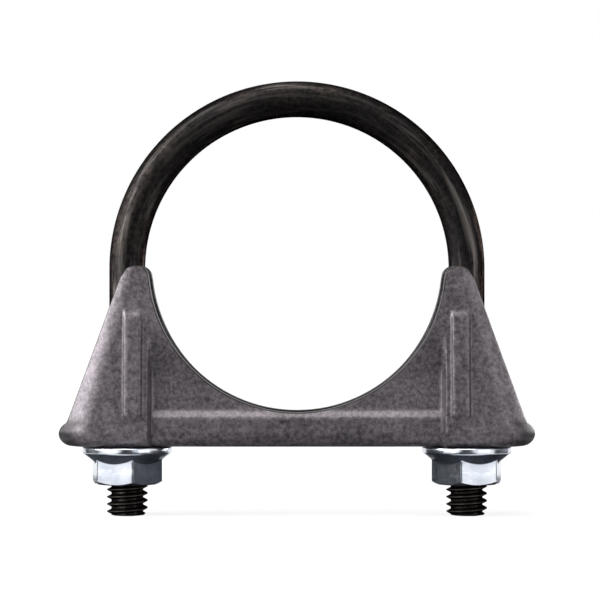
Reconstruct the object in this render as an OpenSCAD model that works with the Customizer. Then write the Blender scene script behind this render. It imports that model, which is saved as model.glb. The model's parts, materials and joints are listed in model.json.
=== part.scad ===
// Exhaust clamp: a round-bar U-bolt, a stamped sheet saddle and two flange nuts.
// The origin is the centre of the clamped pipe, X runs from leg to leg,
// Y is the pipe's axis and Z points up to the crown of the bend.

/* [Pipe] */
// Outside diameter of the pipe that the clamp closes on
pipe_d = 57.15; // [54:0.05:60]

/* [U-bolt] */
// Diameter of the plain bar
bar_d = 7; // [6.6:0.1:7.4]
// Space between the pipe and the inside of each leg
leg_gap = 1; // [0.8:0.1:2]
// Gap between the pipe and the crown of the bend when the clamp is closed
crown_gap = 0.15; // [0.05:0.05:1]
// Major diameter of the thread
thread_d = 7.94; // [7.6:0.02:8.2]
// Length of thread on each leg, from its point
thread_len = 28; // [24:0.5:34]
// Length over which the thread runs out into the bar
runout_len = 1.4; // [0.8:0.1:3]
// Length of each leg below its nut
stud_tail = 6.1; // [3:0.1:9]
// Chamfer on the points of the legs
point_chamfer = 0.5; // [0.2:0.1:1]

/* [Saddle body] */
// Thickness of the sheet
sheet_t = 2.4; // [2:0.1:2.8]
// Height of metal from the underside up to the lowest point of the seat
seat_h = 6.7; // [6:0.1:9]
// Drop of the tips below the pipe's centre line
tip_drop = 0.3; // [0:0.1:2]
// Gap between the bar and the inside of the wall at the tips
wall_gap = 0.4; // [0.3:0.05:0.7]
// How much further out each wall stands at the base than at the tips
base_flare = 2.5; // [2:0.1:4]
// Outside radius of the bend between wall and base
bend_r = 3; // [2.8:0.1:4]
// Lean of the outer edges, in degrees from upright
edge_lean = 20.3; // [18:0.1:24]
// How far outside the leg's axis that edge line crosses the pipe's centre line
edge_out = 0.1; // [0:0.05:0.5]
// Radius at which the outer margins of the walls curl towards the leg
curl_r = 4.6; // [4:0.1:7]
// Width of that curled margin at the tips
curl_tip_w = 2.1; // [1:0.1:2.4]
// Width of that curled margin at the base
curl_base_w = 5.7; // [4:0.1:6]
// Radius of the rounded outer corner of each tip
tip_r = 2.4; // [1.5:0.1:2.6]
// Radius of the rounded corner of each tip beside the seat
tip_in_r = 2; // [1:0.1:2.4]
// Radius of the round nose at each end of the base
nose_r = 2.4; // [1.6:0.1:2.6]
// How far the noses stand out beyond the leaning edges
nose_out = 0.7; // [0.3:0.1:1]
// Clearance round the thread in the holes of the base
hole_gap = 0.4; // [0.2:0.05:0.6]

/* [Saddle waist] */
// Clear space between the two walls in the middle
waist_gap = 6.2; // [5:0.1:7]
// Distance of the waist's step inboard of the leg's axis
step_in = 4.8; // [4.6:0.1:6]
// Width of that step
step_w = 1; // [0.6:0.1:1.4]
// Metal left across the step
step_wall = 1.5; // [1.2:0.1:1.7]
// Depth below the pipe's centre at which the waist begins
waist_top = 12; // [8:0.5:15]
// Height over which the waist reaches its full depth
waist_blend = 10; // [6:0.5:12]
// How far the rim along the base stands out from the waist
rim_out = 1.3; // [0.8:0.1:2]
// Height of the rim along the base
rim_h = 5.4; // [4:0.1:6]
// Height of the sloping ledge on top of the rim
ledge_h = 2.1; // [1:0.1:3]

/* [Saddle beads] */
// Width of the upright stiffening beads
bead_w = 4.1; // [3.4:0.1:4.4]
// Height of the beads above the wall
bead_h = 0.8; // [0.4:0.1:1]
// Distance of the beads' centres inboard of the leg's axis
bead_in = 1.6; // [1.3:0.1:1.7]
// Depth below the pipe's centre at which the beads begin
bead_top = 10; // [9.8:0.1:12]
// Height above the base at which the beads end
bead_foot = 6.4; // [5.6:0.1:8]

/* [Nuts] */
// Width of a nut across its flats
nut_af = 12.7; // [11.5:0.1:13.5]
// Full height of a nut
nut_h = 7.4; // [6:0.1:9]
// Diameter of the flange
flange_d = 17.4; // [16.5:0.1:18]
// Thickness of the flange at its rim
flange_rim = 1.3; // [0.8:0.1:1.6]
// Height of the cone above the rim of the flange
flange_cone = 1.7; // [1:0.1:2.2]
// Running clearance round the thread in a nut
nut_gap = 0.05; // [0.03:0.01:0.1]
// Countersink at each mouth of the nut's bore
nut_sink = 0.5; // [0.2:0.1:0.8]
// Turn of a hexagon's corner away from the front
nut_turn = 12; // [0:1:30]

/* [Hidden] */
$fn = 96;
over = 1;

seat_r = pipe_d / 2;
bend_in_r = seat_r + leg_gap;
leg_x = bend_in_r + bar_d / 2;
bend_z = seat_r + crown_gap - bend_in_r;
base_z = -(seat_r + seat_h);
nut_end_z = base_z - nut_h;
point_z = nut_end_z - stud_tail;
thread_z = point_z + thread_len;
hole_r = thread_d / 2 + hole_gap;

// How far the foot of the flange's cone and the round face of a nut stand off the flats
cone_step = 0.25;
face_step = 0.2;

// Half depths of the walls, out from the plane of the U-bolt to the wall's outside
tip_half = bar_d / 2 + wall_gap + sheet_t;
waist_half = waist_gap / 2 + sheet_t;
step_x = leg_x - step_in;
bead_x = leg_x - bead_in;
bead_flank = bead_w / 6;
rim_z = base_z + rim_h;
ledge_z = rim_z + ledge_h;
wall_z = base_z + bend_r;

// Where the columns of the sheet begin to fan out: past the bead, and this far from the edge
fan_x = bead_x + bead_w / 2;
fan_gap = 2.6;

function smooth(t) = let (c = min(1, max(0, t))) c * c * (3 - 2 * c);
function mix(a, b, t) = a + (b - a) * t;

// The leaning line of the outer edge at height z, and where the wall's curled margin begins
function lean_x(z) = leg_x + edge_out - z * tan(edge_lean);
function curl_x(z) = lean_x(z) - mix(curl_tip_w, curl_base_w, z / base_z);

// Where the outer edge stands: on that line, and round the nose at the end of the base
nose_z = base_z + nose_r;
nose_x = lean_x(nose_z) + nose_out - nose_r;
function edge_x(z) =
    let (c = z - nose_z, n = nose_x + sqrt(max(0, nose_r * nose_r - c * c)))
    c < 0 ? n : c < nose_r ? max(n, lean_x(z)) : lean_x(z);

// Half depth of the plain tapered wall at height z, and of the waist with its rim
function tent(z) = tip_half + base_flare * z / base_z;
function waist(z) = waist_half + rim_out * smooth((ledge_z - z) / ledge_h);

// How much of the waist's step and of the bead there is at a point, from 0 to 1
function step_share(x, z, mid) =
    smooth((mid + step_w / 2 - x) / step_w) * smooth((-z - waist_top) / waist_blend);
function bead_share(x, z, half) =
    smooth((half - abs(x - bead_x)) / bead_flank)
    * smooth(-z - bead_top + 1) * smooth(z - base_z - bead_foot + 1);

// Slope of the curled margin, and the outward direction of the wall in plan
function curl_slope(x, z) = max(0, x - curl_x(z)) / curl_r;
function out_dir(x, z) = let (s = curl_slope(x, z)) [s, 1] / norm([s, 1]);
function plain_y(x, z) = tent(z) - pow(max(0, x - curl_x(z)), 2) / (2 * curl_r);
function formed_y(y, x, z, mid, half) =
    y - (tent(z) - waist(z)) * step_share(x, z, mid) + bead_h * bead_share(x, z, half);

// How far the sheet's cut edge, square with the curled margin above the ledge, has turned
// to face outwards like the end of the base, in the last stretch before that edge
corner_w = 1.5;
function corner_share(x, z) =
    smooth((ledge_z - z) / (ledge_z - wall_z)) * max(0, 1 - abs(edge_x(z) - x) / corner_w);

// One point of the wall: the outside when thick is 0 and the inside when it is 1
function wall_point(x, z, thick) =
    let (n = out_dir(x, z) * sheet_t * thick,
         px = x - n[0] * (1 - corner_share(x, z)), py = plain_y(x, z) - n[1])
    [px, formed_y(py, px, z, step_x + step_wall * thick, bead_w / 2 - bead_flank * thick), z];

// Columns of the sheet from the middle outwards, fixed inboard and fanned out to the edge
columns = concat(
    [0, 0.22, 0.43, 0.59, 0.73, 0.85, 0.94] * (step_x - step_w / 2),
    [step_x - step_w / 2, step_x, step_x + step_w / 2],
    [for (f = [-3, -2, -1, 1, 2, 3]) bead_x + bead_flank * f]);
fan = [0.15, 0.3, 0.45, 0.6, 0.75, 0.88, 1];
n_col = len(columns);
cols = n_col + len(fan);
bead_in_x = bead_x - bead_w / 2;

function fan_foot(z) = min(fan_x, edge_x(z) - fan_gap);
function column_x(i, z) =
    i >= n_col ? mix(fan_foot(z), edge_x(z), fan[i - n_col])
    : columns[i] <= bead_in_x ? columns[i]
    : mix(bead_in_x, fan_foot(z), (columns[i] - bead_in_x) / (fan_x - bead_in_x));

// Top of each column: over the edge of the seat in the middle, the rounded tip outboard
tip_z = -tip_drop;
seat_margin = 0.1;
function arc_drop(d, r) = r - sqrt(max(0, r * r - pow(min(r, max(0, d)), 2)));
function tip_top(x) =
    tip_z - arc_drop(x - edge_x(tip_z - tip_r) + tip_r, tip_r)
    - arc_drop(seat_r + tip_in_r - x, tip_in_r);
function column_top(i) =
    let (x = column_x(i, tip_z - tip_r / 2), r = seat_r - over)
    x < seat_r - seat_margin ? min(tip_top(seat_r), -sqrt(max(0, r * r - x * x)))
    : i == cols - 1 ? tip_z - tip_r : tip_top(x);

// Rows from the middle of the base, round the bend and up the wall
web_rows = [0, 0.5];
bend_rows = [90, 65, 40, 20];
low_rows = concat([for (f = [0, 0.17, 0.4, 0.68, 1]) mix(wall_z, rim_z, f)],
                  [(rim_z + ledge_z) / 2, ledge_z]);
high_rows = [0.12, 0.235, 0.35, 0.47, 0.585, 0.625, 0.67, 0.78, 0.89, 1];
n_web = len(web_rows);
n_bend = n_web + len(bend_rows);
n_low = n_bend + len(low_rows);
rows = n_low + len(high_rows);

function bend_point(i, angle, thick, share) =
    let (
        r = bend_r - sheet_t * thick,
        z = wall_z - r * sin(angle),
        x_wall = column_x(i, wall_z),
        foot = wall_point(x_wall, wall_z, thick),
        x = mix(foot[0], x_wall, sin(angle)) + column_x(i, z) - x_wall)
    [x, share * (foot[1] - r * (1 - cos(angle))), z];

function sheet_point(i, j, thick) =
    j < n_web ? bend_point(i, 90, thick, web_rows[j])
    : j < n_bend ? bend_point(i, bend_rows[j - n_web], thick, 1)
    : let (z = j < n_low ? low_rows[j - n_bend]
               : mix(ledge_z, column_top(i), high_rows[j - n_low]))
      wall_point(column_x(i, z), z, thick);

// Both halves of a row or column, mirrored about the middle
function side(k) = k < 0 ? -1 : 1;
function mirrored_point(i, j, thick) =
    let (p = sheet_point(abs(i), abs(j), thick)) [side(i) * p[0], side(j) * p[1], p[2]];

wide = 2 * cols - 1;
tall = 2 * rows - 1;
function at(i, j, thick) = (thick * wide + i) * tall + j;
function quad(a, b, c, d) = [[a, b, c], [a, c, d]];

module sheet() {
    points = [
        for (thick = [0, 1], i = [1 - cols : cols - 1], j = [1 - rows : rows - 1])
            mirrored_point(i, j, thick)];
    skins = [
        for (i = [0 : wide - 2], j = [0 : tall - 2])
            each concat(
                quad(at(i, j, 0), at(i + 1, j, 0), at(i + 1, j + 1, 0), at(i, j + 1, 0)),
                quad(at(i, j, 1), at(i, j + 1, 1), at(i + 1, j + 1, 1), at(i + 1, j, 1)))];
    rims = [
        for (i = [0 : wide - 2])
            each concat(
                quad(at(i, 0, 0), at(i, 0, 1), at(i + 1, 0, 1), at(i + 1, 0, 0)),
                quad(at(i, tall - 1, 0), at(i + 1, tall - 1, 0),
                     at(i + 1, tall - 1, 1), at(i, tall - 1, 1)))];
    ends = [
        for (j = [0 : tall - 2])
            each concat(
                quad(at(0, j, 0), at(0, j + 1, 0), at(0, j + 1, 1), at(0, j, 1)),
                quad(at(wide - 1, j, 0), at(wide - 1, j, 1),
                     at(wide - 1, j + 1, 1), at(wide - 1, j + 1, 0)))];
    polyhedron(points = points, faces = concat(skins, rims, ends));
}

module each_leg() {
    for (s = [-1, 1]) translate([s * leg_x, 0, 0]) children();
}

// Stamped sheet saddle: seat cut to the pipe, holes in the base for the legs
module saddle() {
    depth = 2 * (tip_half + base_flare + over);
    color("#6f696e") difference() {
        sheet();
        rotate([90, 0, 0]) cylinder(r = seat_r, h = depth, center = true, $fn = 180);
        each_leg() translate([0, 0, base_z - over]) cylinder(r = hole_r, h = sheet_t + 2 * over);
    }
}

// One leg below the bend: plain bar, run-out, thread at its major size, chamfered point
module leg() {
    thread_r = thread_d / 2;
    neck_z = thread_z + runout_len;
    translate([0, 0, neck_z]) cylinder(r = bar_d / 2, h = bend_z - neck_z);
    translate([0, 0, thread_z]) cylinder(r1 = thread_r, r2 = bar_d / 2, h = runout_len);
    translate([0, 0, point_z + point_chamfer])
        cylinder(r = thread_r, h = thread_z - point_z - point_chamfer);
    translate([0, 0, point_z])
        cylinder(r1 = thread_r - point_chamfer, r2 = thread_r, h = point_chamfer);
}

module u_bolt() {
    color("#2b2624") union() {
        translate([0, 0, bend_z]) rotate([90, 0, 0])
            rotate_extrude(angle = 180) translate([leg_x, 0]) circle(d = bar_d);
        each_leg() leg();
    }
}

// Hexagon flange nut, flange up against the saddle, its top at height 0
module nut() {
    flat_r = nut_af / 2;
    corner_r = flat_r / cos(30);
    hex_h = nut_h - flange_rim;
    bore_r = thread_d / 2 + nut_gap;
    cone_r = flat_r + cone_step;
    face_r = flat_r - face_step;
    difference() {
        union() {
            translate([0, 0, -flange_rim]) cylinder(d = flange_d, h = flange_rim);
            translate([0, 0, -flange_rim - flange_cone])
                cylinder(r1 = cone_r, r2 = flange_d / 2, h = flange_cone);
            intersection() {
                translate([0, 0, -nut_h]) cylinder(r = corner_r, h = hex_h, $fn = 6);
                translate([0, 0, -nut_h])
                    cylinder(r1 = face_r, r2 = face_r + nut_h / tan(30), h = nut_h);
            }
        }
        translate([0, 0, -nut_h - over]) cylinder(r = bore_r, h = nut_h + 2 * over);
        translate([0, 0, -nut_h])
            cylinder(r1 = bore_r + nut_sink, r2 = bore_r, h = nut_sink);
        translate([0, 0, -nut_sink])
            cylinder(r1 = bore_r, r2 = bore_r + nut_sink, h = nut_sink);
    }
}

module placed_nut(s) {
    color("#c9ced6") translate([s * leg_x, 0, base_z]) rotate([0, 0, -90 - s * nut_turn]) nut();
}

module left_nut() {
    placed_nut(-1);
}

module right_nut() {
    placed_nut(1);
}

u_bolt();
saddle();
left_nut();
right_nut();
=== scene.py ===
"""The looks of an exhaust clamp: a black bar bent to a U, a pressed sheet saddle and two flange nuts.

Sizes are in millimetres until a mesh is made, and the frame gives the places that the pieces share.
"""
import json
from math import atan, cos, hypot, pi, radians, sin, sqrt, tan

import bmesh
import bpy
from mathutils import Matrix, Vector


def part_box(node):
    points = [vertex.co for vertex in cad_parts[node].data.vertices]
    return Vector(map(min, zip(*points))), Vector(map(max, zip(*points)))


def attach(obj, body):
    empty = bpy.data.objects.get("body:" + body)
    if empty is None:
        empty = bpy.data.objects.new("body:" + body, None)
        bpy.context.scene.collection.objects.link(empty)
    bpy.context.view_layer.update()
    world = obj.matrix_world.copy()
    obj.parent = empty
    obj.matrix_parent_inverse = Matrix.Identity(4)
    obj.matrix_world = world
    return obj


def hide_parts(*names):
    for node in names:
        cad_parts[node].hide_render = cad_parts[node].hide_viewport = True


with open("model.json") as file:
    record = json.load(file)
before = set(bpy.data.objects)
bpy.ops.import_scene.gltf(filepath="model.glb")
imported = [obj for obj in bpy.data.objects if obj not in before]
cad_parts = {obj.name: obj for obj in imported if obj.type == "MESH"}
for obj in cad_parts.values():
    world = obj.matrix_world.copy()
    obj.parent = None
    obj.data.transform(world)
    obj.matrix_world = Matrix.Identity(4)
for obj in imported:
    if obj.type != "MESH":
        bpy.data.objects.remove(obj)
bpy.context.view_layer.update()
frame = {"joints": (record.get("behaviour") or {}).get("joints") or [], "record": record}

MM = 0.001
WELD_GAP = 0.002
SHARP_ANGLE = radians(38)

# Places and sizes that the frame gives
bolt_low, bolt_high = (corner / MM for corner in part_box("u_bolt"))
nut_low, nut_high = (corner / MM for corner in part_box("left_nut"))
seat = next(m for m in frame["record"]["mounts"] if m["name"] == "pipe_seat")
turn = next(j for j in frame["joints"] if j["name"] == "right_nut_turn")
SEAT_R = seat["dims"]["r_mm"]
LEG_X = turn["pos_m"][0] / MM
BASE_Z = nut_high.z
NUT_H = nut_high.z - nut_low.z
FLANGE_R = (nut_high.x - nut_low.x) / 2
POINT_Z = bolt_low.z
THREAD_R = bolt_high.x - LEG_X

# The U-bolt
BAR_R = 3.5
BEND_Z = bolt_high.z - BAR_R - LEG_X
THREAD_LEN = 28
THREAD_TOP = POINT_Z + THREAD_LEN
RUNOUT = 1.8
PITCH = 25.4 / 18
POINT_CHAMFER = 0.7
POINT_ROUND = 0.35
BAR_SIDES = 64
BEND_STEPS = 120
LEG_STEPS = 12
LINE_STRETCH = 14
# How far past the bar's radius the thread's crests start to be lighter, for worn oxide and painted highlight,
# and over what depth
CREST_MARK_FROM = 0.1
CREST_MARK_OVER = 0.35

# The saddle's sheet, where a size that the part states too has the part's name for it
SHEET_T = 2.4
TIP_DROP = 0.3
WALL_GAP = 0.4
BASE_FLARE = 2.5
BEND_R = 3
EDGE_LEAN = radians(20.3)
EDGE_OUT = 0.1
CURL_R = 4.6
CURL_TIP_W = 2.1
CURL_BASE_W = 5.7
TIP_R = 2.4
TIP_IN_R = 2
NOSE_R = 2.4
NOSE_OUT = 0.7
CORNER_W = 1.5
HOLE_GAP = 0.4
HOLE_R = THREAD_R + HOLE_GAP
HOLE_ROUND = 0.3
HOLE_SIDES = 96
CUT_PAST = 1
# Painted shade at the low ends of the base: how dark it is, and its width, height and fades in millimetres
END_SHADE_DARK = 0.85
END_SHADE_W = 4.4
END_SHADE_H = 6.2
END_SHADE_FADE_W = 2.4
END_SHADE_FADE_H = 1.8
WAIST_GAP = 6.2
STEP_IN = 4.8
STEP_W = 1
STEP_WALL = 1.5
WAIST_TOP = 12
WAIST_BLEND = 10
RIM_OUT = 1.3
RIM_H = 5.4
LEDGE_H = 2.1
BEAD_W = 4.1
BEAD_H = 0.8
BEAD_IN = 1.6
BEAD_TOP = 10
BEAD_FOOT = 6.4
BEAD_END = 1
EDGE_ROUND = 0.3

# The nuts
NUT_FLAT = 6.35
FLANGE_RIM = 1.3
FLANGE_CONE = 1.7
FLANGE_FACE_W = 1.2
FLANGE_FACE_FALL = 0.08
FLANGE_TOP_ROUND = 0.35
FLANGE_RIM_ROUND = 0.45
NECK_ROUND = 0.5
NECK_W = 0.25
FACE_R = 6.15
FACE_ROUND = 0.1
CHAMFER = radians(30)
CHAMFER_ROUND = 0.12
CORNER_R = 0.4
# The angle from the middle of a flat to where its rounded corner starts
CORNER_FROM = atan((NUT_FLAT - CORNER_R) * tan(pi / 6) / NUT_FLAT)
FLAT_STEPS = 15
CORNER_STEPS = 7
ARC_STEPS = 5
NUT_TURN = radians(12)
SINK = 0.5
NUT_CLEAR = 0.05
BORE_EASE = 0.15


def smooth(t):
    """Soft step from 0 to 1."""
    t = min(1, max(0, t))
    return t * t * (3 - 2 * t)


def mix(a, b, t):
    return a + (b - a) * t


def spread(a, b, count):
    """Count values from a to b, both included."""
    return [mix(a, b, i / (count - 1)) for i in range(count)]


# Meshes

def weld(mesh_points, faces, marks, name, drawn=()):
    """A mesh object from points in millimetres, with points that meet joined.

    marks gives each point's share of the painted shade, highlight and wear mark, and drawn its place round
    and along a drawn bar.
    """
    bm = bmesh.new()
    wear_and_painted_light = bm.verts.layers.float.new("wear_and_painted_light")
    along = bm.verts.layers.float_vector.new("drawn") if drawn else None
    verts = [bm.verts.new(Vector(p) * MM) for p in mesh_points]
    for vert, mark in zip(verts, marks):
        vert[wear_and_painted_light] = mark
    for vert, place in zip(verts, drawn):
        vert[along] = Vector(place) * MM
    for face in faces:
        bm.faces.new([verts[i] for i in face])
    bmesh.ops.remove_doubles(bm, verts=bm.verts, dist=WELD_GAP * MM)
    bmesh.ops.recalc_face_normals(bm, faces=bm.faces)
    for face in bm.faces:
        face.smooth = True
    mesh = bpy.data.meshes.new(name)
    bm.to_mesh(mesh)
    bm.free()
    mesh.set_sharp_from_angle(angle=SHARP_ANGLE)
    made = bpy.data.objects.new(name, mesh)
    bpy.context.scene.collection.objects.link(made)
    return made


def stitch(ring_a, ring_b):
    """Quads between two closed rings of the same count."""
    n = len(ring_a)
    return [(ring_a[i], ring_a[(i + 1) % n], ring_b[(i + 1) % n], ring_b[i]) for i in range(n)]


def dress(made, material, node, body):
    """Gives a piece its material and its body, and hides the solid that it stands for."""
    made.data.materials.append(material)
    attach(made, body)
    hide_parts(node)


# The saddle's form: one sheet, as a function of the place on its outside and the share of its thickness

STEP_X = LEG_X - STEP_IN
BEAD_X = LEG_X - BEAD_IN
BEAD_FLANK = BEAD_W / 6
RIM_Z = BASE_Z + RIM_H
LEDGE_Z = RIM_Z + LEDGE_H
WALL_Z = BASE_Z + BEND_R
TIP_Z = -TIP_DROP
TIP_HALF = BAR_R + WALL_GAP + SHEET_T
WAIST_HALF = WAIST_GAP / 2 + SHEET_T


def lean_x(z):
    """The leaning line of the outer edge."""
    return LEG_X + EDGE_OUT - z * tan(EDGE_LEAN)


def curl_start(z):
    return lean_x(z) - mix(CURL_TIP_W, CURL_BASE_W, z / BASE_Z)


def edge_x(z):
    """The outer edge: the leaning line, and the round nose at the end of the base."""
    nose_z = BASE_Z + NOSE_R
    above = z - nose_z
    nose = lean_x(nose_z) + NOSE_OUT - NOSE_R + sqrt(max(0, NOSE_R ** 2 - above ** 2))
    if above < 0:
        return nose
    return max(nose, lean_x(z)) if above < NOSE_R else lean_x(z)


def tent(z):
    return TIP_HALF + BASE_FLARE * z / BASE_Z


def waist(z):
    return WAIST_HALF + RIM_OUT * smooth((LEDGE_Z - z) / LEDGE_H)


def step_share(x, z, mid):
    return smooth((mid + STEP_W / 2 - x) / STEP_W) * smooth((-z - WAIST_TOP) / WAIST_BLEND)


def bead_share(x, z, half):
    across = smooth((half - abs(x - BEAD_X)) / BEAD_FLANK)
    below_top = -z - BEAD_TOP + BEAD_END
    above_foot = z - BASE_Z - BEAD_FOOT + BEAD_END
    return across * smooth(below_top / BEAD_END) * smooth(above_foot / BEAD_END)


def painted_end_shade(x, z):
    """How much painted shade darkens the sheet at the low ends of the base, where the rounded nose turns
    under.
    """
    across = smooth((x - edge_x(z) + END_SHADE_W) / END_SHADE_FADE_W)
    return END_SHADE_DARK * across * smooth((BASE_Z + END_SHADE_H - z) / END_SHADE_FADE_H)


def corner_share(x, z):
    """How far the cut edge has turned to face outwards, like the base's end.

    Higher up it is square with the curled margin.
    """
    down = smooth((LEDGE_Z - z) / (LEDGE_Z - WALL_Z))
    return down * max(0, 1 - abs(edge_x(z) - x) / CORNER_W)


def wall_point(x, z, share):
    """A point of the wall: its outside at share 0 and its inside at share 1."""
    over_curl = max(0, x - curl_start(z))
    slope = over_curl / CURL_R
    length = hypot(slope, 1)
    px = x - slope / length * SHEET_T * share * (1 - corner_share(x, z))
    y = tent(z) - over_curl ** 2 / (2 * CURL_R) - SHEET_T * share / length
    y -= (tent(z) - waist(z)) * step_share(px, z, STEP_X + STEP_WALL * share)
    y += BEAD_H * bead_share(px, z, BEAD_W / 2 - BEAD_FLANK * share)
    return px, y, z


def arc_drop(d, r):
    """How far a quarter circle has fallen after the distance d."""
    return r - sqrt(max(0, r * r - min(r, max(0, d)) ** 2))


def bend_point(x_wall, x_here, angle, share, inward):
    """A point of the bend from wall to base, and of the base where inward is under 1."""
    r = BEND_R - SHEET_T * share
    z = WALL_Z - r * sin(angle)
    foot = wall_point(x_wall, WALL_Z, share)
    x = mix(foot[0], x_wall, sin(angle)) + x_here - x_wall
    return x, inward * (foot[1] - r * (1 - cos(angle))), z


def tip_top(x):
    return (TIP_Z - arc_drop(x - edge_x(TIP_Z - TIP_R) + TIP_R, TIP_R)
            - arc_drop(SEAT_R + TIP_IN_R - x, TIP_IN_R))


# How far the grid's nearest lines lie past the seat's edge, the waist's step and the ledge
SEAT_PAST, STEP_PAST, LEDGE_PAST = 0.03, 0.1, 0.4
SEAT_STEPS = [SEAT_R * sin(radians(a)) for a in range(0, 88, 3)]
STEP_STEPS = spread(SEAT_R + SEAT_PAST, STEP_X + STEP_W / 2 + STEP_PAST, 5)
BEAD_STEPS = (spread(BEAD_X - BEAD_W / 2, BEAD_X - BEAD_W / 2 + BEAD_FLANK, 7)
              + spread(BEAD_X - BEAD_W / 6, BEAD_X + BEAD_W / 6, 5)
              + spread(BEAD_X + BEAD_W / 2 - BEAD_FLANK, BEAD_X + BEAD_W / 2, 7))
FIXED = SEAT_STEPS + STEP_STEPS + [mix(STEP_STEPS[-1], BEAD_STEPS[0], 0.5)] + BEAD_STEPS
FAN = spread(0, 1, 25)[1:]
MARGIN = 0.6
FAN_GAP = 2.6
FAN_X = BEAD_X + BEAD_W / 2
BEAD_IN_X = BEAD_X - BEAD_W / 2
COLUMNS = len(FIXED) + len(FAN) + 1


def column_x(i, z):
    """The place of column i at height z: fixed inboard, fanned out to the leaning edge outboard."""
    foot = min(FAN_X, edge_x(z) - FAN_GAP)
    if i == COLUMNS - 1:
        return edge_x(z)
    if i >= len(FIXED):
        return mix(foot, edge_x(z) - MARGIN, FAN[i - len(FIXED)])
    if FIXED[i] <= BEAD_IN_X:
        return FIXED[i]
    return mix(BEAD_IN_X, foot, (FIXED[i] - BEAD_IN_X) / (FAN_X - BEAD_IN_X))


def column_top(i):
    x = column_x(i, TIP_Z - TIP_R / 2)
    if i == COLUMNS - 1:
        return TIP_Z - TIP_R
    if x < SEAT_R:
        return min(tip_top(SEAT_R), -sqrt(SEAT_R ** 2 - x ** 2))
    return tip_top(x)


WEB_ROWS = [0, 0.3, 0.6, 0.85]
BEND_ROWS = [radians(a) for a in range(90, 0, -9)]
LOW_ROWS = spread(WALL_Z, LEDGE_Z + LEDGE_PAST, 18)
HIGH_ROWS = spread(0, 1, 38)[1:]
LOW_ROOM = 1.2
ROWS = len(WEB_ROWS) + len(BEND_ROWS) + len(LOW_ROWS) + len(HIGH_ROWS) + 1
ACROSS = range(1 - COLUMNS, COLUMNS)
AROUND = range(1 - ROWS, ROWS)


def row_z(i, j):
    """Height of row j of the wall in column i, where the rows below the ledge close up under a low seat."""
    top = column_top(i)
    squeeze = min(1, (top - LOW_ROOM - WALL_Z) / (LOW_ROWS[-1] - WALL_Z))
    low = [WALL_Z + (z - WALL_Z) * squeeze for z in LOW_ROWS]
    if j < len(low):
        return low[j]
    j -= len(low)
    return mix(low[-1], top - MARGIN, HIGH_ROWS[j]) if j < len(HIGH_ROWS) else top


def sheet_point(i, j, share, inset=(0, 0)):
    """A point of the sheet's quarter, moved by inset along the sheet."""
    web, bent = len(WEB_ROWS), len(WEB_ROWS) + len(BEND_ROWS)
    if j < bent:
        angle = radians(90) if j < web else BEND_ROWS[j - web]
        x_wall = column_x(i, WALL_Z) + inset[0]
        z = WALL_Z - BEND_R * sin(angle)
        return bend_point(x_wall, column_x(i, z) + inset[0], angle, share, WEB_ROWS[j] if j < web else 1)
    z = row_z(i, j - bent)
    return wall_point(column_x(i, z) + inset[0], z + inset[1], share)


def rim_inward(i, j):
    """The direction from a point of the sheet's edge into the sheet, across and up."""
    side = Vector((-cos(EDGE_LEAN), -sin(EDGE_LEAN)))
    if j < ROWS - 1:
        return Vector((-1, 0)) if j < len(WEB_ROWS) + len(BEND_ROWS) else side
    if i == COLUMNS - 1:
        return side
    x = column_x(i, TIP_Z - TIP_R / 2)
    if x < SEAT_R:
        return Vector((x, column_top(i))).normalized()
    step = 0.02
    rise = (tip_top(x + step) - tip_top(x - step)) / (2 * step)
    return Vector((rise, -1)).normalized()


def rim_profile():
    """How far in and how deep the rounded edge of the sheet lies, from its outside to its inside."""
    turns = [radians(a) for a in (0, 22, 45, 67, 90)]
    outer = [(EDGE_ROUND * (1 - sin(a)), EDGE_ROUND * (1 - cos(a))) for a in turns]
    inner = [(inset, SHEET_T - depth) for inset, depth in reversed(outer)]
    return outer + [(0, SHEET_T / 3), (0, SHEET_T * 2 / 3)] + inner


def rim_loop():
    """The grid places round the edge of the sheet, in order."""
    low = [(i, AROUND[0]) for i in ACROSS]
    right = [(ACROSS[-1], j) for j in AROUND[1:]]
    high = [(i, AROUND[-1]) for i in reversed(ACROSS[:-1])]
    left = [(ACROSS[0], j) for j in reversed(AROUND[1:-1])]
    return low + right + high + left


def sheet_mesh():
    """The whole sheet: two skins and a rounded rim, mirrored both ways from one quarter."""
    points, marks, index = [], [], {}

    def place(i, j, level, inset, share, mark):
        a, b = abs(i), abs(j)
        away = rim_inward(a, b) * inset if inset else (0, 0)
        x, y, z = sheet_point(a, b, share, away)
        index[i, j, level] = len(points)
        points.append((x if i > 0 else -x, y if j > 0 else -y, z))
        # Painted shade darkens the low ends of the base.
        marks.append(max(mark, painted_end_shade(x, z)))

    profile = rim_profile()
    inside = len(profile) - 1
    loop = rim_loop()
    on_rim = set(loop)
    for level, share in ((0, 0), (inside, 1)):
        for i in ACROSS:
            for j in AROUND:
                place(i, j, level, EDGE_ROUND if (i, j) in on_rim else 0, share, 0)
    # The rounded rim's points get mark 1, which is painted shade on the cut edges.
    for level, (inset, depth) in enumerate(profile[1:-1], start=1):
        for i, j in loop:
            place(i, j, level, inset, depth / SHEET_T, 1)
    faces = []
    for level in (0, inside):
        for i in ACROSS[:-1]:
            for j in AROUND[:-1]:
                corners = ((i, j), (i + 1, j), (i + 1, j + 1), (i, j + 1))
                faces.append([index[a, b, level] for a, b in corners])
    for level in range(inside):
        faces += stitch([index[i, j, level] for i, j in loop], [index[i, j, level + 1] for i, j in loop])
    return points, faces, marks


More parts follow.
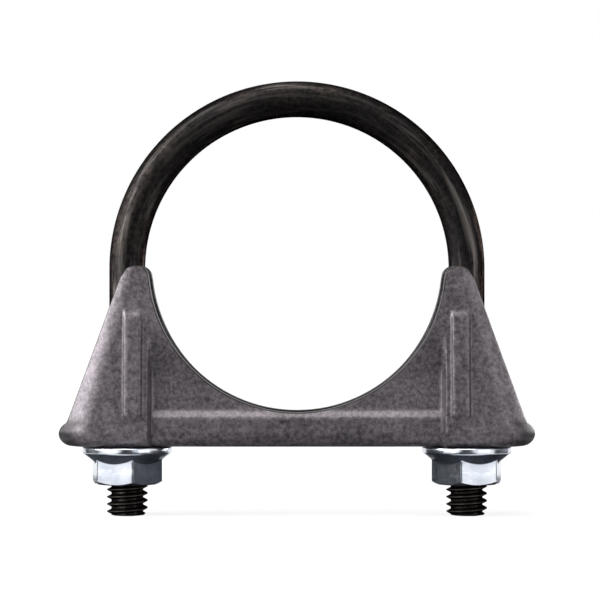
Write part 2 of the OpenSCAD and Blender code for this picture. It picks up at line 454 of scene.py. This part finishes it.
def punch(x):
    """Cutter for one hole of the base, wider at both mouths as a punched and deburred hole is."""
    mouth = HOLE_R + HOLE_ROUND + CUT_PAST
    profile = [(mouth, -CUT_PAST), (HOLE_R, HOLE_ROUND),
               (HOLE_R, SHEET_T - HOLE_ROUND), (mouth, SHEET_T + CUT_PAST)]
    turns = [2 * pi * k / HOLE_SIDES for k in range(HOLE_SIDES)]
    points = [(x + r * cos(a), r * sin(a), BASE_Z + z) for r, z in profile for a in turns]
    rings = [range(n * HOLE_SIDES, (n + 1) * HOLE_SIDES) for n in range(len(profile))]
    faces = [list(rings[0]), list(rings[-1])]
    for low, high in zip(rings, rings[1:]):
        faces += stitch(low, high)
    return weld(points, faces, [0] * len(points), "punch")


def make_saddle(material):
    saddle = weld(*sheet_mesh(), "saddle_sheet")
    for x in (-LEG_X, LEG_X):
        cutter = punch(x)
        cut = saddle.modifiers.new("hole", "BOOLEAN")
        cut.object = cutter
        cut.solver = "EXACT"
        bpy.context.view_layer.objects.active = saddle
        bpy.ops.object.modifier_apply(modifier=cut.name)
        bpy.data.objects.remove(cutter)
    saddle.data.set_sharp_from_angle(angle=SHARP_ANGLE)
    dress(saddle, material, "saddle", "saddle")


# Threads: a grid wound like the thread itself, so that each crest is one line of edges

def thread_depth(phase):
    """Share of the thread's depth at a phase of the pitch, 0 on the crest and 1 in the root."""
    crest, root = 0.125, 0.25
    from_crest = abs((phase + 0.5) % 1 - 0.5)
    return min(1, max(0, (from_crest - crest / 2) / (0.5 - (crest + root) / 2)))


def wound_grid(angles, low, high, radius_at):
    """Points and quads of a thread from height low to high.

    radius_at gives the radius at a phase of the pitch and a height.
    """
    phases = [0, 0.0625, 0.2, 0.375, 0.5, 0.625, 0.8, 0.9375]
    turns = int((high - low) / PITCH) + 3
    count = turns * len(phases)
    points = []
    for k in range(count):
        for angle in angles:
            z = low + (k // len(phases) - 1 + phases[k % len(phases)] + angle / (2 * pi)) * PITCH
            z = min(high, max(low, z))
            r = radius_at(phases[k % len(phases)], z)
            points.append((r * cos(angle), r * sin(angle), z))
    n = len(angles)

    def vertex(k, m):
        return k * n + m if m < n else (k + len(phases)) * n + m - n

    faces = [(vertex(k, m), vertex(k, m + 1), vertex(k + 1, m + 1), vertex(k + 1, m))
             for k in range(count - 1) for m in range(n)
             if vertex(k + 1, m + 1) < len(points)]
    return points, faces


# A sharp thread would be VEE_H deep, and 17/24 of that is left with its crests and roots flattened
VEE_H = 0.866 * PITCH
THREAD_DEPTH = VEE_H * 17 / 24
BAR_ANGLES = [2 * pi * k / BAR_SIDES for k in range(BAR_SIDES)]


def stud_radius(phase, z):
    """Outside of a leg's thread, which runs out into the bar above and is chamfered at its point."""
    if z <= POINT_Z:
        return THREAD_R - POINT_CHAMFER - POINT_ROUND
    out = smooth((z - THREAD_TOP) / RUNOUT)
    r = mix(THREAD_R - THREAD_DEPTH * thread_depth(phase), BAR_R, out)
    return min(r, THREAD_R - POINT_CHAMFER + (z - POINT_Z))


def stud_mesh(side):
    """A leg's thread: its points, faces, the crests' mark of worn oxide and painted highlight, and places
    round and along the bar.
    """
    stud, faces = wound_grid(BAR_ANGLES, POINT_Z, THREAD_TOP + RUNOUT, stud_radius)
    points = [(side * LEG_X + x, y, z) for x, y, z in stud]
    wear_and_painted_light = [smooth((hypot(x, y) - BAR_R - CREST_MARK_FROM) / CREST_MARK_OVER) for x, y, z in stud]
    drawn = [(side * x, y, side * (z - BEND_Z) / LINE_STRETCH) for x, y, z in stud]
    return points, faces, wear_and_painted_light, drawn


def point_mesh(side):
    """The flat end of a leg."""
    r = stud_radius(0, POINT_Z)
    points = [(side * LEG_X + r * cos(a), r * sin(a), POINT_Z) for a in BAR_ANGLES]
    return points, [list(range(BAR_SIDES))], [0] * BAR_SIDES, points


def bar_rings():
    """Each ring of the plain bar: its centre across and up, its turn, and the length along the bar to it."""
    heights = spread(THREAD_TOP + RUNOUT, BEND_Z, LEG_STEPS)[:-1]
    turns = spread(0, pi, BEND_STEPS + 1)
    right = [(LEG_X, z, 0, z - BEND_Z) for z in heights]
    bend = [(LEG_X * cos(t), BEND_Z + LEG_X * sin(t), t, LEG_X * t) for t in turns]
    left = [(-LEG_X, z, pi, LEG_X * pi + BEND_Z - z) for z in reversed(heights)]
    return right + bend + left


def bar_mesh():
    """The plain bar from thread to thread, with what stud_mesh gives of a leg."""
    points, drawn = [], []
    for x, z, turned, length in bar_rings():
        for a in BAR_ANGLES:
            out, y = BAR_R * cos(a), BAR_R * sin(a)
            points.append((x + out * cos(turned), y, z + out * sin(turned)))
            drawn.append((out, y, length / LINE_STRETCH))
    loops = [range(n, n + BAR_SIDES) for n in range(0, len(points), BAR_SIDES)]
    faces = [face for low, high in zip(loops, loops[1:]) for face in stitch(low, high)]
    return points, faces, [0] * len(points), drawn


def make_u_bolt(material):
    points, faces, marks, drawn = [], [], [], []
    ends = [make(side) for side in (-1, 1) for make in (stud_mesh, point_mesh)]
    for part_points, part_faces, part_marks, part_drawn in ends + [bar_mesh()]:
        faces += [[len(points) + v for v in face] for face in part_faces]
        points += part_points
        marks += part_marks
        drawn += part_drawn
    bolt = weld(points, faces, marks, "u_bolt_bar", drawn)
    dress(bolt, material, "u_bolt", "u_bolt")


# Nuts: a profile for each angle, from the mouth of the bore over the flange and the hexagon and back

def hex_radius(turn_angle):
    """Distance from the axis to the hexagon with rounded corners, a corner being at angle 0."""
    from_flat = abs((turn_angle % (pi / 3)) - pi / 6)
    if from_flat <= CORNER_FROM:
        return NUT_FLAT / cos(from_flat)
    centre = (NUT_FLAT - CORNER_R) / cos(pi / 6)
    off = pi / 6 - from_flat
    return centre * cos(off) + sqrt(CORNER_R ** 2 - (centre * sin(off)) ** 2)


def hex_angles():
    """Angles round the nut, close together at the rounded corners."""
    flat = spread(pi / 6 - CORNER_FROM, pi / 6 + CORNER_FROM, FLAT_STEPS)
    corner = spread(pi / 6 + CORNER_FROM, pi / 2 - CORNER_FROM, CORNER_STEPS)[1:-1]
    return [k * pi / 3 + a for k in range(6) for a in flat + corner]


def rounded(profile):
    """A profile of (radius, height, rounding) corners with each rounded corner as an arc."""
    made = []
    for n, (r, z, soft) in enumerate(profile):
        here = Vector((r, z))
        if not soft:
            made.append((r, z))
            continue
        before = (Vector(profile[n - 1][:2]) - here).normalized()
        after = (Vector(profile[n + 1][:2]) - here).normalized()
        half = before.angle(after) / 2
        reach = soft / tan(half)
        centre = here + (before + after).normalized() * soft / sin(half)
        start = here + before * reach - centre
        end = here + after * reach - centre
        for t in spread(0, 1, ARC_STEPS):
            spoke = (start * (1 - t) + end * t).normalized() * soft
            made.append(tuple(centre + spoke))
    return made


def nut_profile(angle):
    hexagon = hex_radius(angle)
    fall = FLANGE_CONE / (FLANGE_R - NUT_FLAT - NECK_W)
    cone_z = -FLANGE_RIM - (FLANGE_R - hexagon) * fall
    chamfer_z = -NUT_H + (hexagon - FACE_R) * tan(CHAMFER)
    mouth = THREAD_R + NUT_CLEAR + SINK
    return rounded([
        (mouth, 0, 0), (FLANGE_R - FLANGE_FACE_W, 0, 0), (FLANGE_R, -FLANGE_FACE_FALL, FLANGE_TOP_ROUND),
        (FLANGE_R, -FLANGE_RIM, FLANGE_RIM_ROUND), (hexagon, cone_z, NECK_ROUND),
        (hexagon, (cone_z + chamfer_z) / 2, 0), (hexagon, chamfer_z, CHAMFER_ROUND),
        (FACE_R, -NUT_H, FACE_ROUND), (mouth, -NUT_H, 0)])


def bore_radius(phase, z):
    """Inside of the nut's thread, which lies in the leg's thread, with a countersink at each mouth."""
    crest = THREAD_R - THREAD_DEPTH + NUT_CLEAR
    r = mix(THREAD_R + NUT_CLEAR, crest + BORE_EASE, thread_depth(phase))
    sink = THREAD_R + NUT_CLEAR + SINK - min(z + NUT_H, -z)
    return max(r, sink)


def make_nut(side, material):
    corner = -pi / 2 - side * NUT_TURN
    angles = hex_angles()
    profiles = [nut_profile(a) for a in angles]
    count = len(profiles[0])
    points = [(p[n][0] * cos(a), p[n][0] * sin(a), p[n][1])
              for n in range(count) for a, p in zip(angles, profiles)]
    loops = [range(n * len(angles), (n + 1) * len(angles)) for n in range(count)]
    faces = [face for low, high in zip(loops, loops[1:]) for face in stitch(low, high)]
    bore, bore_faces = wound_grid(angles, -NUT_H, 0, bore_radius)
    start = len(points)
    points += bore
    faces += [[start + v for v in face] for face in bore_faces]
    c, s = cos(corner), sin(corner)
    placed = [(side * LEG_X + x * c - y * s, x * s + y * c, BASE_Z + z) for x, y, z in points]
    name = "left_nut" if side < 0 else "right_nut"
    nut = weld(placed, faces, [0] * len(placed), name + "_zinc")
    dress(nut, material, name, name)


# Materials

def hex_colour(code):
    """Linear colour of an sRGB hex value."""
    parts = [int(code[n:n + 2], 16) / 255 for n in (1, 3, 5)]
    return [c / 12.92 if c <= 0.04045 else ((c + 0.055) / 1.055) ** 2.4 for c in parts] + [1]


def per_mm(size):
    """Texture scale at which a pattern repeats about once in size millimetres."""
    return 1 / (size * MM)


def add(tree, kind, links=None, **settings):
    """One node of a kind, with its settings and with its inputs linked or set by name or number."""
    made = tree.nodes.new("ShaderNode" + kind)
    for key, value in settings.items():
        setattr(made, key, value)
    for key, value in (links or {}).items():
        if isinstance(value, bpy.types.NodeSocket):
            tree.links.new(value, made.inputs[key])
        else:
            made.inputs[key].default_value = value
    return made


def new_material(name):
    """An empty material with its shader, and the place on the piece in metres."""
    material = bpy.data.materials.new(name)
    material.use_nodes = True
    tree = material.node_tree
    tree.nodes.clear()
    shader = add(tree, "BsdfPrincipled")
    add(tree, "OutputMaterial", {"Surface": shader.outputs[0]})
    place = add(tree, "TexCoord").outputs["Object"]
    return material, tree, shader, place


def pressed_mild_steel():
    """Pickled mild steel as the press left it: dull, a little purple and mottled.

    It carries painted shade on its cut edges and at the low ends of the base.
    """
    material, tree, shader, place = new_material("pressed_mild_steel")
    cloud = add(tree, "TexNoise", {"Vector": place, "Scale": per_mm(8), "Detail": 4, "Roughness": 0.6})
    # The real grain is some hundredths of a millimetre, and is drawn this coarse so that it shows
    grain = add(tree, "TexNoise", {"Vector": place, "Scale": per_mm(0.8), "Detail": 4, "Roughness": 0.75})
    patch = add(tree, "MapRange", {"Value": cloud.outputs["Fac"], "From Min": 0.32, "From Max": 0.68})
    base = add(tree, "Mix", {"Factor": patch.outputs[0], "A": hex_colour("#403b3f"),
                             "B": hex_colour("#676166")}, data_type="RGBA")
    speck = add(tree, "MapRange", {"Value": grain.outputs["Fac"], "From Min": 0.36, "From Max": 0.64})
    fine = add(tree, "Mix", {"Factor": speck.outputs[0], "A": hex_colour("#282528"),
                             "B": hex_colour("#7d767b")}, data_type="RGBA")
    skin = add(tree, "Mix", {"Factor": 0.55, "A": base.outputs["Result"], "B": fine.outputs["Result"]},
               data_type="RGBA")
    # Painted shade: the cut edges and the low ends of the base are mixed towards near black.
    wear_and_painted_light = add(tree, "Attribute", attribute_name="wear_and_painted_light")
    painted_shade = add(tree, "Mix", {"Factor": wear_and_painted_light.outputs["Fac"], "A": skin.outputs["Result"],
                                "B": hex_colour("#221f21")}, data_type="RGBA")
    tree.links.new(painted_shade.outputs["Result"], shader.inputs["Base Color"])
    shader.inputs["Metallic"].default_value = 0.6
    rough = add(tree, "MapRange", {"Value": grain.outputs["Fac"], "From Min": 0.3, "From Max": 0.7,
                                   "To Min": 0.36, "To Max": 0.52})
    tree.links.new(rough.outputs[0], shader.inputs["Roughness"])
    bump = add(tree, "Bump", {"Height": grain.outputs["Fac"], "Strength": 0.5, "Distance": 0.08 * MM})
    tree.links.new(bump.outputs[0], shader.inputs["Normal"])
    return material


def black_oxide_bar():
    """Blackened drawn bar: nearly black, brown where the oxide is thin, with soft grey lines along it."""
    material, tree, shader, place = new_material("black_oxide_bar")
    cloud = add(tree, "TexNoise", {"Vector": place, "Scale": per_mm(6), "Detail": 4, "Roughness": 0.65})
    # Coarser than the real skin of the bar, so that its mottling shows
    grain = add(tree, "TexNoise", {"Vector": place, "Scale": per_mm(0.9), "Detail": 4, "Roughness": 0.7})
    # The lines that the die leaves along the bar, drawn wider than they are
    drawn = add(tree, "Attribute", attribute_name="drawn")
    line = add(tree, "TexNoise", {"Vector": drawn.outputs["Vector"], "Scale": per_mm(1.2), "Detail": 3,
                                  "Roughness": 0.6})
    patch = add(tree, "MapRange", {"Value": cloud.outputs["Fac"], "From Min": 0.35, "From Max": 0.7})
    base = add(tree, "Mix", {"Factor": patch.outputs[0], "A": hex_colour("#201f20"),
                             "B": hex_colour("#302b28")}, data_type="RGBA")
    speck = add(tree, "MapRange", {"Value": grain.outputs["Fac"], "From Min": 0.38, "From Max": 0.62})
    skin = add(tree, "Mix", {"Factor": speck.outputs[0], "A": hex_colour("#161516"),
                             "B": base.outputs["Result"]}, data_type="RGBA")
    streak = add(tree, "MapRange", {"Value": line.outputs["Fac"], "From Min": 0.5, "From Max": 0.7,
                                    "To Max": 0.6})
    lined = add(tree, "Mix", {"Factor": streak.outputs[0], "A": skin.outputs["Result"],
                              "B": hex_colour("#5b5754")}, data_type="RGBA")
    # Lighter on the thread's crests: worn oxide, and painted highlight as well.
    wear_and_painted_light = add(tree, "Attribute", attribute_name="wear_and_painted_light")
    crest = add(tree, "Mix", {"Factor": wear_and_painted_light.outputs["Fac"], "A": lined.outputs["Result"],
                              "B": hex_colour("#423e3b")}, data_type="RGBA")
    tree.links.new(crest.outputs["Result"], shader.inputs["Base Color"])
    shader.inputs["Metallic"].default_value = 1
    shader.inputs["Specular Tint"].default_value = hex_colour("#6a6668")
    rough = add(tree, "MapRange", {"Value": line.outputs["Fac"], "From Min": 0.35, "From Max": 0.65,
                                   "To Min": 0.52, "To Max": 0.38})
    tree.links.new(rough.outputs[0], shader.inputs["Roughness"])
    bump = add(tree, "Bump", {"Height": grain.outputs["Fac"], "Strength": 0.5, "Distance": 0.05 * MM})
    tree.links.new(bump.outputs[0], shader.inputs["Normal"])
    return material


def bright_zinc_plate():
    """Zinc plate over cold-formed steel: bright, bluish, with the fine unevenness of barrel plating."""
    material, tree, shader, place = new_material("bright_zinc_plate")
    cloud = add(tree, "TexNoise", {"Vector": place, "Scale": per_mm(4), "Detail": 3, "Roughness": 0.5})
    # The plate's crystals are finer than this, and wouldn't show
    grain = add(tree, "TexNoise", {"Vector": place, "Scale": per_mm(0.9), "Detail": 3, "Roughness": 0.6})
    patch = add(tree, "MapRange", {"Value": cloud.outputs["Fac"], "From Min": 0.3, "From Max": 0.7})
    base = add(tree, "Mix", {"Factor": patch.outputs[0], "A": hex_colour("#bfc6d2"),
                             "B": hex_colour("#dde1e8")}, data_type="RGBA")
    tree.links.new(base.outputs["Result"], shader.inputs["Base Color"])
    shader.inputs["Metallic"].default_value = 1
    rough = add(tree, "MapRange", {"Value": grain.outputs["Fac"], "From Min": 0.3, "From Max": 0.7,
                                   "To Min": 0.14, "To Max": 0.24})
    tree.links.new(rough.outputs[0], shader.inputs["Roughness"])
    bump = add(tree, "Bump", {"Height": grain.outputs["Fac"], "Strength": 0.4, "Distance": 0.04 * MM})
    tree.links.new(bump.outputs[0], shader.inputs["Normal"])
    return material


# Stage: a white floor and backdrop, soft lamps, cards and the camera

CAMERA_AT = Vector((0.6, -450, -6.9)) * MM
FRAME_WIDTH = 117 * MM
SENSOR = 36
FLOOR_HALF = 4
FLOOR_GLOW = 1.06
# The floor is a little less white near the clamp, within these distances in metres, so that a shadow shows
SHADE_FROM, SHADE_TO, SHADE_SHARE = 0.1, 0.45, 0.8
WORLD_LIGHT = 0.3
# Each lamp's place and side in metres, and its power in watts
LAMPS = {
    "key_lamp": ((-0.5, -0.18, 0.24), 0.28, 4.2),
    "left_rim_lamp": ((-0.6, 0.06, 0.08), 0.24, 2),
    "right_rim_lamp": ((0.55, 0.3, 0.08), 0.24, 2.8),
    "top_lamp": ((-0.05, -0.1, 0.8), 0.5, 5),
    "left_front_lamp": ((-0.47, -0.65, 0), 0.25, 0.8),
    "right_front_lamp": ((0.57, -0.57, 0.02), 0.4, 0.5)}
CARD_Z = POINT_Z + 0.1
CARD_BLACK, CARD_WHITE, CARD_GLOW = "#333539", "#f0f0f0", 2.4


def seen_directly(tree):
    """1 for what the camera, a mirror or a window sees of a surface, and 0 for the light that it gives."""
    path = add(tree, "LightPath")
    either = add(tree, "Math", {0: path.outputs["Is Camera Ray"], 1: path.outputs["Is Glossy Ray"]},
                 operation="MAXIMUM")
    return add(tree, "Math", {0: either.outputs[0], 1: path.outputs["Is Transmission Ray"]},
               operation="MAXIMUM").outputs[0]


def make_floor():
    """A pale floor that is white to the eye and still holds the clamp's shadow."""
    mesh = bpy.data.meshes.new("floor")
    corners = [(-1, -1), (1, -1), (1, 1), (-1, 1)]
    mesh.from_pydata([(x * FLOOR_HALF, y * FLOOR_HALF, POINT_Z * MM) for x, y in corners], [], [(0, 1, 2, 3)])
    floor = bpy.data.objects.new("floor", mesh)
    bpy.context.scene.collection.objects.link(floor)
    material = bpy.data.materials.new("white_floor")
    material.use_nodes = True
    tree = material.node_tree
    tree.nodes.clear()
    lit = add(tree, "BsdfDiffuse", {"Color": hex_colour("#e8e8e8")})
    glow = add(tree, "Emission", {"Color": (1, 1, 1, 1), "Strength": FLOOR_GLOW})
    place = add(tree, "TexCoord")
    away = add(tree, "VectorMath", {0: place.outputs["Object"]}, operation="LENGTH")
    white = add(tree, "MapRange", {"Value": away.outputs["Value"], "From Min": SHADE_FROM,
                                   "From Max": SHADE_TO, "To Min": SHADE_SHARE})
    share = add(tree, "Math", {0: seen_directly(tree), 1: white.outputs[0]}, operation="MULTIPLY")
    both = add(tree, "MixShader", {0: share.outputs[0], 1: lit.outputs[0], 2: glow.outputs[0]})
    add(tree, "OutputMaterial", {"Surface": both.outputs[0]})
    mesh.materials.append(material)


def make_backdrop():
    """A world that looks white and lights softly."""
    world = bpy.data.worlds.new("backdrop")
    world.use_nodes = True
    tree = world.node_tree
    tree.nodes.clear()
    strength = add(tree, "MapRange", {"Value": seen_directly(tree), "To Min": WORLD_LIGHT})
    glow = add(tree, "Background", {"Color": (1, 1, 1, 1), "Strength": strength.outputs[0]})
    add(tree, "OutputWorld", {"Surface": glow.outputs[0]})
    bpy.context.scene.world = world


def make_lamp(name, place, size, power):
    """A square soft lamp at a place in metres, turned to the clamp."""
    data = bpy.data.lights.new(name, "AREA")
    data.size = size
    data.energy = power
    lamp = bpy.data.objects.new(name, data)
    lamp.location = place
    lamp.rotation_euler = (-Vector(place)).to_track_quat("-Z", "Y").to_euler()
    bpy.context.scene.collection.objects.link(lamp)


def make_card(name, corners, colour, glow=0):
    """A card that only reflections show, black or lit, for the dark and bright faces of a nut in a studio."""
    mesh = bpy.data.meshes.new(name)
    mesh.from_pydata([Vector(corner) * MM for corner in corners], [], [range(len(corners))])
    card = bpy.data.objects.new(name, mesh)
    card.visible_camera = card.visible_diffuse = card.visible_shadow = False
    bpy.context.scene.collection.objects.link(card)
    material = bpy.data.materials.new(name)
    material.use_nodes = True
    tree = material.node_tree
    tree.nodes.clear()
    paper = add(tree, "BsdfDiffuse", {"Color": hex_colour(colour)})
    light = add(tree, "Emission", {"Color": (1, 1, 1, 1), "Strength": glow})
    both = add(tree, "AddShader", {0: paper.outputs[0], 1: light.outputs[0]})
    add(tree, "OutputMaterial", {"Surface": both.outputs[0]})
    mesh.materials.append(material)


def lying(*places):
    """Corners of a card that lies on the floor."""
    return [(x, y, CARD_Z) for x, y in places]


def standing(start, end, top):
    """Corners of a card that stands on the floor from one place to another."""
    return [(*start, CARD_Z), (*end, CARD_Z), (*end, top), (*start, top)]


def make_cards():
    """Dark cards round the nuts and in front of the clamp, and a bright one in front at each side."""
    for s in (-1, 1):
        make_card("side_card", standing((s * 78, -20), (s * 78, 30), -27), CARD_BLACK)
        make_card("under_card", lying((s * 20, -13), (s * 46, -13), (s * 46, 13), (s * 20, 13)), CARD_BLACK)
        make_card("outer_card", lying((s * 46, -20), (s * 60, -20), (s * 60, 20), (s * 46, 20)), CARD_BLACK)
        make_card("edge_card", lying((s * 44, 17), (s * 50, 16), (s * 86, 78), (s * 66, 88)), CARD_BLACK)
        make_card("bright_card", standing((s * 330, -530), (s * 570, -350), 150), CARD_WHITE, CARD_GLOW)
    make_card("middle_card", standing((0, -20), (0, 20), BASE_Z - 0.5), CARD_BLACK)
    make_card("low_card", lying((-20, -25), (20, -25), (20, 30), (-20, 30)), CARD_BLACK)
    make_card("near_card", lying((-20, -25), (-60, -45), (-150, -620), (150, -620), (60, -45), (20, -25)),
              CARD_BLACK)
    make_card("front_card", standing((-150, -620), (150, -620), 450), CARD_BLACK)


def make_camera():
    """Level with the middle of the clamp and square to it, as in the picture."""
    data = bpy.data.cameras.new("camera")
    data.sensor_width = SENSOR
    data.lens = SENSOR * -CAMERA_AT.y / FRAME_WIDTH
    data.clip_start = 0.01
    camera = bpy.data.objects.new("camera", data)
    camera.location = CAMERA_AT
    camera.rotation_euler = (pi / 2, 0, 0)
    bpy.context.scene.collection.objects.link(camera)
    bpy.context.scene.camera = camera


make_camera()
make_floor()
make_backdrop()
for lamp_name, (lamp_place, lamp_size, watts) in LAMPS.items():
    make_lamp(lamp_name, lamp_place, lamp_size, watts)
make_cards()
bpy.context.scene.view_settings.view_transform = "Standard"

make_saddle(pressed_mild_steel())
make_u_bolt(black_oxide_bar())
zinc = bright_zinc_plate()
make_nut(-1, zinc)
make_nut(1, zinc)
